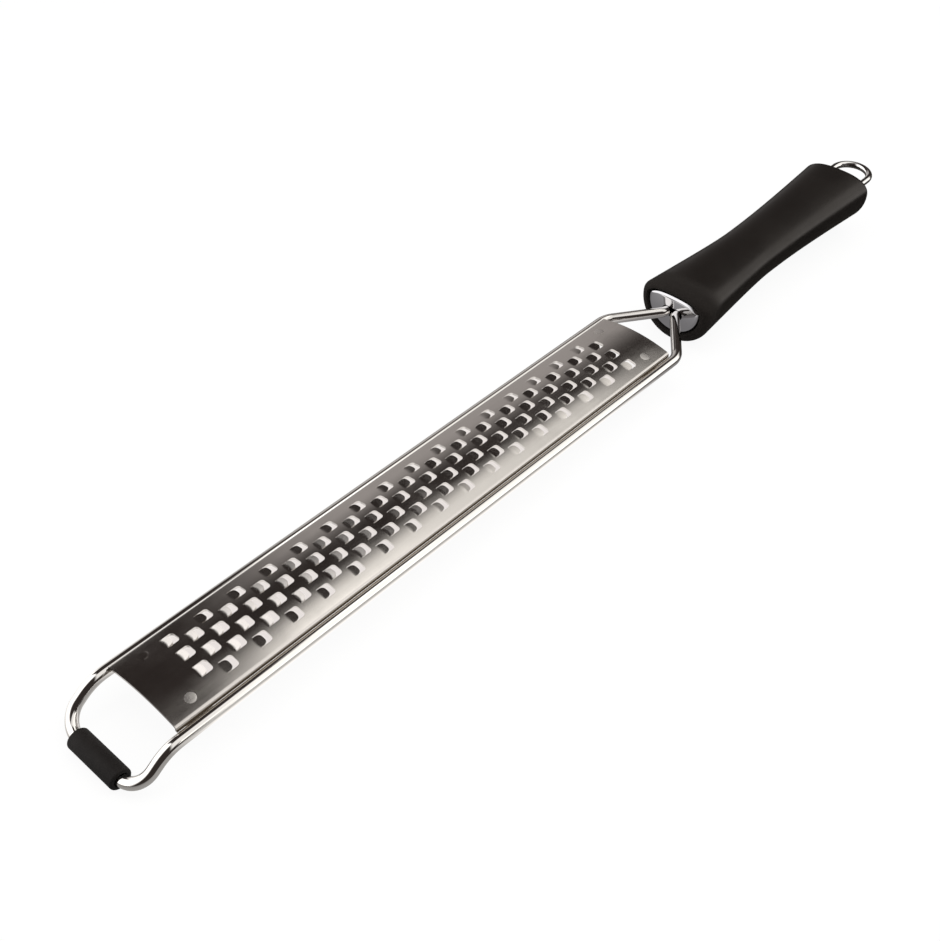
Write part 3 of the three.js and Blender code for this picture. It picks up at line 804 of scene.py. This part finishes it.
# Rivets: four soft steel rivets, two through each strap. Their heads are pressed flush into the blade and
# ground off with it, so three show as dull discs and the far front one is polished with the sheet; the closed
# ends are domed under the straps.
RIVET_X = 105.25 * MM
RIVET_Y = 10.75 * MM
RIVET_HEAD = 1.8 * MM
RIVET_PROUD = 0.05 * MM
RIVET_SHANK = 1.2 * MM
RIVET_TAIL = 1.7 * MM
RIVET_TAIL_HEIGHT = 0.8 * MM
RIVET_SIDES = 32
PIN_POINT = 0.001 * MM
HEAD_CROWN = ((0.55, 0.9), (0.85, 0.6))
HEAD_EDGE = (0.01 * MM, -0.1 * MM)
TAIL_DOME = ((1, 0.45 * MM), (0.85, 0.16 * MM), (0.5, 0.03 * MM))
RIVET_COLOUR = (0.7, 0.675, 0.655)
POLISHED_ROUGHNESS = 0.14
POLISHED_LINES = 0.15
tail_top = -(BLADE_SHEET + GAP + STRAP_SHEET)
tail_bottom = tail_top - GAP - RIVET_TAIL_HEIGHT
rivet_profile = [
    (PIN_POINT, RIVET_PROUD),
    *((RIVET_HEAD * out, RIVET_PROUD * up) for out, up in HEAD_CROWN),
    *((RIVET_HEAD, height) for height in HEAD_EDGE),
    (RIVET_SHANK, -BLADE_SHEET),
    (RIVET_SHANK, tail_top),
    (RIVET_TAIL, tail_top),
    *((RIVET_TAIL * out, tail_bottom + up) for out, up in TAIL_DOME),
    (PIN_POINT, tail_bottom),
]


def closed_loft(rings):
    """Closed shape through rings, capped flat at both ends."""
    shape = bmesh.new()
    rows = skin(shape, rings)
    for row in (rows[0], rows[-1]):
        shape.faces.new(row)
    return shape


rivet_mesh = finished_mesh("rivet", closed_loft(turned_rings(rivet_profile, RIVET_SIDES, Matrix())))

# Tree that sets a rivet on each point, turned to stand square to the arch
rivet_tree, rivet_in = geometry_tree(
    "set_rivets",
    From_middle=RIVET_X,
    From_centre_line=RIVET_Y,
    Arch_radius=ARCH_RADIUS,
    Crown=CROWN_HEIGHT,
    Along=0.0,
)
rivet_grid = add_node(
    rivet_tree,
    "GeometryNodeMeshGrid",
    Size_X=tree_math("MULTIPLY", rivet_in["From middle"], 2),
    Size_Y=tree_math("MULTIPLY", rivet_in["From centre line"], 2),
    Vertices_X=2,
    Vertices_Y=2,
)
rivet_at = rivet_tree.nodes.new("GeometryNodeInputPosition")
rivet_at_y = axes(rivet_at.outputs[0])["Y"]
rivet_lean = tree_math("ARCSINE", tree_math("DIVIDE", rivet_at_y, rivet_in["Arch radius"]))
rivet_fall = tree_math(
    "MULTIPLY", tree_math("SUBTRACT", tree_math("COSINE", rivet_lean), 1), rivet_in["Arch radius"]
)
rivet_offset = vector(
    rivet_tree, X=rivet_in["Along"], Z=tree_math("ADD", rivet_in["Crown"], rivet_fall)
)
rivet_turn = vector(rivet_tree, X=tree_math("MULTIPLY", rivet_lean, -1))
rivet_points = add_node(
    rivet_tree,
    "GeometryNodeInstanceOnPoints",
    Points=rivet_grid.outputs["Mesh"],
    Instance=rivet_in["Geometry"],
    Rotation=rivet_turn,
)
rivet_placed = add_node(
    rivet_tree,
    "GeometryNodeTranslateInstances",
    Instances=rivet_points.outputs[0],
    Translation=rivet_offset,
    Local_Space=False,
)
close_tree(rivet_tree, rivet_placed.outputs[0], rivet_in["Finish"])

rivet_steel, rivet_shader = new_finish("rivet_steel", RIVET_COLOUR, roughness=0.3, metallic=1)
rivet_place = object_place(rivet_shader)
rivet_lines = place_group(lines_group, rivet_place, Lines=(600, 5200, 5200))
rivet_handled = place_group(smudge_group, rivet_place, Size=420.0, Clean=0.25, Handled=0.33)
rivet_spot = axes(rivet_place)
rivet_ahead = change(rivet_spot["X"], blade_x, blade_x - RIVET_X / 2)
rivet_beyond = change(rivet_spot["Y"], 0.0, RIVET_Y / 2)
rivet_polished = tree_math("MULTIPLY", rivet_ahead, rivet_beyond)
rivet_depth = change(rivet_polished, before=1.0, after=POLISHED_LINES)
rivet_height = tree_math("MULTIPLY", rivet_lines, rivet_depth)
set_inputs(
    rivet_shader,
    Base_Color=colour_ramp(rivet_polished, (0, RIVET_COLOUR), (1, STEEL_COLOUR)),
    Roughness=change(rivet_polished, before=rivet_handled, after=POLISHED_ROUGHNESS),
    Normal=bump(rivet_height, strength=0.3, distance=0.02 * MM),
)
rivets = made_by_tree("rivets_set", rivet_mesh, rivet_tree, {"Along": blade_x, "Finish": rivet_steel})
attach(rivets, "root")
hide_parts("rivet_front_near", "rivet_front_far", "rivet_rear_near", "rivet_rear_far")

# Handle grip: black plastic moulded round the wire's two ends, waisted, round below and flatter on top. The
# mould is lightly eroded, so the skin has a fine even grain; hands have worn it smoother behind a matt collar
# at the front. The ends are rounded over.
HANDLE_LENGTH = 122.6 * MM
FRONT_RADIUS = 16 * MM
WAIST_RADIUS = 12.2 * MM
REAR_RADIUS = 15.4 * MM
WAIST_PLACE = 54.2 * MM
FRONT_SWEEP = 4.4
REAR_SWEEP = 1.8
TOP_RISE = 0.49
TOP_SQUARENESS = 2.6
FRONT_ROUND = 3.9 * MM
REAR_ROUND = 2.3 * MM
GRIP_SIDES = 96
GRIP_STEPS = 64
GRIP_END_STEPS = 12
FACE_RING = 1.05
CUT_SHARP = math.radians(30)
OVERSHOOT = 2 * MM
CAP_RADIUS = 11.7 * MM
CAP_RISE = 4.2 * MM
CAP_LIFT = 0.7 * MM
CAP_DEPTH = 6 * MM
CAP_ROUND = 1.6 * MM
MOUTH_FLARE = 1.2 * MM
MOUTH_STEPS = 6
POCKET_GAP = 0.12 * MM
LOOP_WIRE = 2.9 * MM
LOOP_SPREAD = 15.9 * MM
LOOP_REACH = 20.2 * MM
LOOP_DEPTH = 14 * MM
COLLAR_FRESH = 5 * MM
COLLAR_WORN = 13 * MM
COLLAR_ROUGHNESS = 0.85
PLASTIC_COLOUR = (0.0055, 0.0044, 0.0039)
PLASTIC_DARK = (0.0045, 0.0036, 0.0032)
PLASTIC_PALE = (0.0068, 0.0056, 0.0049)
PLASTIC_GLOSS = (1.0, 0.92, 0.87)


def grip_section(radius, rise):
    """Section across the handle as (y, z): a half circle below, a squared half ellipse above."""
    points = []
    for i in range(GRIP_SIDES):
        angle = 2 * math.pi * i / GRIP_SIDES
        cos, sin = math.cos(angle), math.sin(angle)
        if sin <= 0:
            points.append((radius * cos, radius * sin))
        else:
            across = math.copysign(abs(cos) ** (2 / TOP_SQUARENESS), cos)
            points.append((radius * across, rise * sin ** (2 / TOP_SQUARENESS)))
    return points


def grip_radius(distance):
    """Radius of the round half at a distance from the front, before its ends are rounded over."""

    def swell(share, sweep):
        return (math.hypot(1, sweep * share) - 1) / (math.hypot(1, sweep) - 1)

    to_front = max((WAIST_PLACE - distance) / WAIST_PLACE, 0)
    to_rear = max((distance - WAIST_PLACE) / (HANDLE_LENGTH - WAIST_PLACE), 0)
    front = (FRONT_RADIUS - WAIST_RADIUS) * swell(to_front, FRONT_SWEEP)
    rear = (REAR_RADIUS - WAIST_RADIUS) * swell(to_rear, REAR_SWEEP)
    return WAIST_RADIUS + front + rear


def rounded_end(round_radius, steps):
    """Stations of a rounded end: distance from its face, and how far the outline is drawn in there. A narrow
    flat ring comes first, so the face inside it is shaded flat."""
    turns = [math.pi / 2 * i / steps for i in range(steps)]
    stations = [(round_radius * (1 - math.cos(a)), round_radius * (1 - math.sin(a))) for a in turns]
    return [(0, round_radius * FACE_RING)] + stations


def handle_ring(x, section, lift=0):
    """Section set across the handle at a distance from its front."""
    return [in_handle(x, y, z + lift) for y, z in section]


def cut_away(mesh, cutters):
    """Mesh with other closed shapes cut out of it."""
    host = linked_object(mesh.name, mesh)
    tools = []
    for i, cutter in enumerate(cutters):
        tool = linked_object(f"cutter_{i}", finished_mesh(f"cutter_{i}", cutter))
        tools.append(tool)
        cut = host.modifiers.new(f"cut_{i}", "BOOLEAN")
        cut.operation = "DIFFERENCE"
        cut.solver = "EXACT"
        cut.object = tool
    made = evaluated_mesh(host)
    made.name = mesh.name
    for used in (host, *tools):
        bpy.data.objects.remove(used)
    made.shade_smooth()
    made.set_sharp_from_angle(angle=CUT_SHARP)
    return made


grip_body = HANDLE_LENGTH - FRONT_ROUND - REAR_ROUND
grip_stations = rounded_end(FRONT_ROUND, GRIP_END_STEPS)
grip_stations += [(FRONT_ROUND + grip_body * i / GRIP_STEPS, 0) for i in range(GRIP_STEPS + 1)]
rear_end = reversed(rounded_end(REAR_ROUND, GRIP_END_STEPS))
grip_stations += [(HANDLE_LENGTH - distance, drawn_in) for distance, drawn_in in rear_end]
grip_rings = []
for grip_x, drawn_in in grip_stations:
    ring_radius = grip_radius(grip_x) - drawn_in
    grip_rings.append(handle_ring(grip_x, grip_section(ring_radius, ring_radius * TOP_RISE)))
pocket_stations = [(-OVERSHOOT, MOUTH_FLARE)]
for i in range(MOUTH_STEPS):
    lip_turn = math.pi / 2 * i / MOUTH_STEPS
    pocket_stations.append((CAP_ROUND * (1 - math.cos(lip_turn)), MOUTH_FLARE * (1 - math.sin(lip_turn))))
pocket_stations += [(CAP_ROUND, 0), (CAP_DEPTH + POCKET_GAP, 0)]
pocket_rings = []
for pocket_x, flare in pocket_stations:
    pocket_section = grip_section(CAP_RADIUS + POCKET_GAP + flare, CAP_RISE + POCKET_GAP + flare)
    pocket_rings.append(handle_ring(pocket_x, pocket_section, CAP_LIFT))
bore_cutters = []
for bore_y in (-LOOP_SPREAD / 2, LOOP_SPREAD / 2):
    bore_radius = LOOP_WIRE / 2 + POCKET_GAP
    bore = [
        (bore_y + bore_radius * math.cos(a), bore_radius * math.sin(a))
        for a in (2 * math.pi * i / WIRE_SIDES for i in range(WIRE_SIDES))
    ]
    bore_stations = (HANDLE_LENGTH - LOOP_DEPTH, HANDLE_LENGTH + OVERSHOOT)
    bore_cutters.append(closed_loft([handle_ring(x, bore) for x in bore_stations]))
grip_mesh = finished_mesh("handle_grip_moulded", closed_loft(grip_rings))
grip_mesh = cut_away(grip_mesh, [closed_loft(pocket_rings), *bore_cutters])

black_plastic, plastic_shader = new_finish("black_plastic", PLASTIC_COLOUR, roughness=0.35, metallic=0)
plastic_place = object_place(plastic_shader)
plastic_grain = noise(plastic_place, scale=3200.0, detail=2.0)
plastic_cells = add_node(plastic_place.id_data, "ShaderNodeTexVoronoi", Vector=plastic_place, Scale=2400.0)
plastic_height = tree_math("ADD", plastic_grain, plastic_cells.outputs["Distance"])
plastic_tone = noise(plastic_place, scale=38.0, detail=5.0)
plastic_worn = change(
    axes(plastic_place)["X"],
    handle_front + COLLAR_FRESH,
    handle_front + COLLAR_WORN,
    before=COLLAR_ROUGHNESS,
    after=place_group(smudge_group, plastic_place, Size=65.0, Clean=0.31, Handled=0.4),
    blend="SMOOTHSTEP",
)
set_inputs(
    plastic_shader,
    Base_Color=colour_ramp(plastic_tone, (0.3, PLASTIC_DARK), (0.72, PLASTIC_PALE)),
    Roughness=plastic_worn,
    Specular_IOR_Level=0.4,
    Specular_Tint=(*PLASTIC_GLOSS, 1),
    Normal=bump(plastic_height, strength=0.16, distance=0.03 * MM),
)
add_piece("handle_grip_moulded", grip_mesh, black_plastic, ["handle_grip"])

# End cap: a bright plated plug of the handle's section, pressed into a pocket in its front until it is level
# with it. Its rim is well rounded, and both wires pass through one slot in it.
CAP_STEPS = 10
SLOT_GAP = 0.15 * MM
cap_rings = []
for cap_x, drawn_in in rounded_end(CAP_ROUND, CAP_STEPS) + [(CAP_ROUND, 0), (CAP_DEPTH, 0)]:
    cap_rings.append(handle_ring(cap_x, grip_section(CAP_RADIUS - drawn_in, CAP_RISE - drawn_in), CAP_LIFT))
closing_in = math.atan2(RAIL_Y - TANG_Y, NECK_LENGTH - NECK_START - TANG_LEAD)
bend_end = TANG_BEND * math.tan(closing_in / 2) - TANG_LEAD
slot_reach = TANG_Y + max(bend_end, 0) * math.tan(closing_in)
slot_round = WIRE / 2 + SLOT_GAP
slot_section = []
for slot_side, slot_start in ((1, -math.pi / 2), (-1, math.pi / 2)):
    for i in range(2 * ROUND_STEPS + 1):
        slot_turn = slot_start + math.pi * i / (2 * ROUND_STEPS)
        slot_y = slot_side * slot_reach + slot_round * math.cos(slot_turn)
        slot_section.append((slot_y, slot_round * math.sin(slot_turn) - TANG_DROP))
slot_cutter = closed_loft([handle_ring(x, slot_section) for x in (-OVERSHOOT, CAP_DEPTH + OVERSHOOT)])
cap_mesh = cut_away(finished_mesh("end_cap_plated", closed_loft(cap_rings)), [slot_cutter])

bright_cap, cap_shader = new_finish("bright_cap", (0.56, 0.56, 0.58), roughness=0.05, metallic=1)
cap_place = object_place(cap_shader)
cap_handled = place_group(smudge_group, cap_place, Size=180.0, Clean=0.035, Handled=0.1)
cap_lines = place_group(lines_group, cap_place, Lines=(3000, 3000, 500))
cap_polish = bump(cap_lines, strength=0.06, distance=0.01 * MM)
set_inputs(cap_shader, Roughness=cap_handled, Normal=cap_polish)
add_piece("end_cap_plated", cap_mesh, bright_cap, ["end_cap"])

# Hanging loop: thinner bright steel wire bent to a U, to hang the grater by. Both its legs are pressed into
# bores in the end of the handle.
LOOP_SIDES = 24
loop_side = LOOP_SPREAD / 2
loop_inner = HANDLE_LENGTH - LOOP_DEPTH
loop_outer = HANDLE_LENGTH + LOOP_REACH - LOOP_WIRE / 2
loop_corners = [
    (in_handle(loop_inner, -loop_side, 0), 0),
    (in_handle(loop_outer, -loop_side, 0), loop_side),
    (in_handle(loop_outer, loop_side, 0), loop_side),
    (in_handle(loop_inner, loop_side, 0), 0),
]
loop_wire = wire_finish("loop_wire", (0.72, 0.71, 0.7), clean=0.045, handled=0.1)
hanging_loop = drawn_wire("hanging_loop_bent", loop_corners, LOOP_WIRE, LOOP_SIDES, loop_wire)
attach(hanging_loop, "root")
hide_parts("hanging_loop")

# Table: a plain white top. The camera sees it glowing white but for a painted shade under the blade, with a
# share of its own shading that keeps the grater's shadow. The bright metal sees painted light on it: bright
# along the blade and beyond the tip, painted shade on the photographer's side and under the handle.
TABLE_SIZE = 3.0
TABLE_GLOW = 0.93
TABLE_MATT = (0.86, 0.86, 0.86)
TABLE_SHADE = (0.83, 0.775, 0.75)
TABLE_DARK = (0.05, 0.045, 0.042)
WHITE = (1, 1, 1)
MIX_FACTOR, MIX_FROM, MIX_TO, MIX_COLOUR = 0, 6, 7, 2
table_shape = bmesh.new()
table_corners = [(x * TABLE_SIZE, y * TABLE_SIZE, 0) for x, y in ((-1, -1), (1, -1), (1, 1), (-1, 1))]
table_shape.faces.new([table_shape.verts.new(corner) for corner in table_corners])
table_mesh = plain_mesh("table_top", table_shape)
table = linked_object("table_top", table_mesh)
white_table = bpy.data.materials.new("white_table")
white_table.use_nodes = True
table_tree = white_table.node_tree
table_tree.nodes.clear()


def both(*masks):
    """Mask that holds where all of the masks hold."""
    return functools.reduce(lambda one, other: tree_math("MULTIPLY", one, other), masks)


def either(one, other):
    """Mask that holds where one of two masks holds."""
    return tree_math("MAXIMUM", one, other)


def within(*edges):
    """Mask of an area, from its edges: each a value, where it begins to count and where it counts in full."""
    return both(*(fade(*edge) for edge in edges))


def lit(colour, lights):
    """Colour that is changed, mask by mask, to the lights given as (mask, light)."""
    for mask, light in lights:
        mix = add_node(mask.id_data, "ShaderNodeMix", {"data_type": "RGBA"})
        feed(mix.inputs[MIX_FACTOR], mask)
        feed(mix.inputs[MIX_FROM], colour)
        feed(mix.inputs[MIX_TO], (*light, 1))
        colour = mix.outputs[MIX_COLOUR]
    return colour


def mixed(share, one, other):
    """Shader that goes from one to the other with a share."""
    mix = add_node(one.id_data, "ShaderNodeMixShader")
    for socket, value in zip(mix.inputs, (share, one.outputs[0], other.outputs[0])):
        feed(socket, value)
    return mix


# Areas of the table by the metres along it and across it, then the painted light that the metal sees in each
table_rays = table_tree.nodes.new("ShaderNodeLightPath")
table_x, table_y, _ = axes(object_place(table_rays))
table_front = within((table_x, -0.275, -0.195))
table_far = within((table_y, 0.0, 0.05), (table_x, -0.1, -0.19))
table_blade = within((table_x, -0.19, -0.17), (table_y, 0.03, 0.015))
table_away = within((table_y, -0.022, -0.045))
table_neck = within((table_x, 0.01, 0.055))
table_handle = within((table_x, 0.06, 0.085))
# Painted shade: the white that the camera sees is painted darker under the blade
table_painted_shade = within(
    (table_x, blade_front + 0.01, blade_front + 0.017),
    (table_x, blade_rear + 0.006, blade_rear - 0.002),
    (table_y, -0.01, -0.002),
    (table_y, 0.028, 0.021),
)
# Painted light on the table for the metal's reflections, with painted shade on the near side and under the
# handle
table_painted_light = lit(
    (*TABLE_DARK, 1),
    [
        (either(table_front, table_far), (0.4, 0.39, 0.38)),
        (either(table_blade, table_far), (1.25, 1.22, 1.19)),
        (both(table_blade, table_away), (0.6, 0.59, 0.57)),
        (table_neck, (0.28, 0.27, 0.27)),
        (table_handle, (0.06, 0.055, 0.05)),
    ],
)
table_colour = lit((*WHITE, 1), [(table_painted_shade, TABLE_SHADE)])
table_matt = add_node(table_tree, "ShaderNodeBsdfDiffuse", Color=(*TABLE_MATT, 1))
table_white = add_node(table_tree, "ShaderNodeEmission", Color=table_colour, Strength=1.0)
table_mirrored = add_node(table_tree, "ShaderNodeEmission", Color=table_painted_light, Strength=1.0)
table_glow = tree_math("MULTIPLY", table_rays.outputs["Is Camera Ray"], TABLE_GLOW)
table_seen = mixed(table_glow, table_matt, table_white)
table_mix = mixed(table_rays.outputs["Is Glossy Ray"], table_seen, table_mirrored)
add_node(table_tree, "ShaderNodeOutputMaterial", Surface=table_mix.outputs[0])
table_mesh.materials.append(white_table)

# Studio: a dark room with white panels of light: behind the tip, overhead, along the near side, a small one
# over the neck, and dim ones on the right and low on the far side. The camera sees plain white behind the
# table; the metal sees the room.
ROOM_DARK = (0.036, 0.029, 0.0265)
LOWEST_CEILING = 0.02
world = bpy.data.worlds.new("studio")
bpy.context.scene.world = world
world.use_nodes = True
room = world.node_tree
room.nodes.clear()
way_x, way_y, way_z = axes(add_node(room, "ShaderNodeTexCoord").outputs["Generated"])
way_up = tree_math("MAXIMUM", way_z, LOWEST_CEILING)
ceiling_x = tree_math("DIVIDE", way_x, way_up)
ceiling_y = tree_math("DIVIDE", way_y, way_up)

# Panels by the direction they are seen in, or by their place on a ceiling, then the light of each
right_wall = within((way_z, 0.68, 0.47), (way_x, 0.34, 0.44), (way_x, 0.745, 0.67), (way_y, 0.1, 0.3))
far_floor = within((way_z, 0.3, 0.16), (way_y, 0.5, 0.72))
far_low = within((way_z, 0.45, 0.33), (way_x, 0.34, 0.02))
far_left = within((way_x, -0.02, -0.09))
far_box = both(either(far_left, far_low), within((way_y, -0.05, 0.3)))
over_box = within(
    (ceiling_x, 0.345, 0.43), (ceiling_x, 0.92, 0.82), (ceiling_y, 0.47, 0.06), (way_z, 0.3, 0.5)
)
over_dim = both(over_box, within((ceiling_x, 0.5, 0.6)))
neck_box = within((way_z, 0.5, 0.72), (way_x, -0.19, -0.05), (way_x, 0.4, 0.3), (way_y, 0.12, -0.02))
near_box = within((way_x, 0.26, 0.34), (way_x, 0.94, 0.8), (way_y, 0.0, -0.14))
near_low = both(near_box, within((way_z, 0.5, 0.25)))
near_foot = both(near_box, within((way_z, 0.17, 0.1)))
room_light = lit(
    (*ROOM_DARK, 1),
    [
        (right_wall, (0.5, 0.47, 0.455)),
        (far_floor, (0.6, 0.58, 0.57)),
        (far_box, (1.75, 1.72, 1.69)),
        (over_box, (1.95, 1.91, 1.82)),
        (over_dim, (1.1, 1.08, 1.03)),
        (neck_box, (1.05, 1.03, 1.0)),
        (near_box, (1.35, 1.32, 1.27)),
        (near_low, (1.75, 1.72, 1.67)),
        (near_foot, (0.66, 0.65, 0.63)),
    ],
)
room_seen = add_node(room, "ShaderNodeBackground", Color=(*WHITE, 1), Strength=1.0)
room_lit = add_node(room, "ShaderNodeBackground", Color=room_light, Strength=1.0)
room_rays = room.nodes.new("ShaderNodeLightPath")
room_mix = mixed(room_rays.outputs["Is Camera Ray"], room_lit, room_seen)
add_node(room, "ShaderNodeOutputWorld", Surface=room_mix.outputs[0])

# Soft lamp: a large lamp above the near side of the handle, which lights the matt pieces and makes the shadow
# on the table. The bright metal doesn't mirror it.
LAMP_PLACE = (0.25, -0.25, 1.2)
LAMP_LEAN = math.radians(12)
LAMP_SIZE = 1.4
LAMP_POWER = 16.0
LAMP_COLOUR = (1.0, 0.98, 0.95)
lamp_data = bpy.data.lights.new("soft_lamp", "AREA")
lamp_data.size = LAMP_SIZE
lamp_data.energy = LAMP_POWER
lamp_data.color = LAMP_COLOUR
lamp = linked_object("soft_lamp", lamp_data)
lamp.location = LAMP_PLACE
lamp.rotation_euler = (-LAMP_LEAN, LAMP_LEAN, 0)
lamp.visible_glossy = False

# Camera: where the photograph was taken from, with a lens of its angle. Both were worked out from the lattice
# of the teeth, with the lens looking at the picture's middle, so there is no shift.
CAMERA_PLACE = Vector((blade_x, 0, 0)) + Vector((-214.835, -207.072, 305.076)) * MM
CAMERA_RIGHT = Vector((0.672501, -0.739823, 0.020128))
CAMERA_UP = Vector((0.497680, 0.472187, 0.727568))
CAMERA_FORWARD = Vector((0.547775, 0.479273, -0.685741))
SENSOR_HEIGHT = 36
LENS = 48.70
NEAREST = 0.01
camera_data = bpy.data.cameras.new("camera")
camera_data.sensor_fit = "VERTICAL"
camera_data.sensor_height = SENSOR_HEIGHT
camera_data.lens = LENS
camera_data.clip_start = NEAREST
camera = linked_object("camera", camera_data)
camera_turn = Matrix((CAMERA_RIGHT, CAMERA_UP, -CAMERA_FORWARD)).transposed().to_4x4()
camera.matrix_world = Matrix.Translation(CAMERA_PLACE) @ camera_turn
bpy.context.scene.camera = camera
bpy.context.scene.view_settings.view_transform = "Standard"
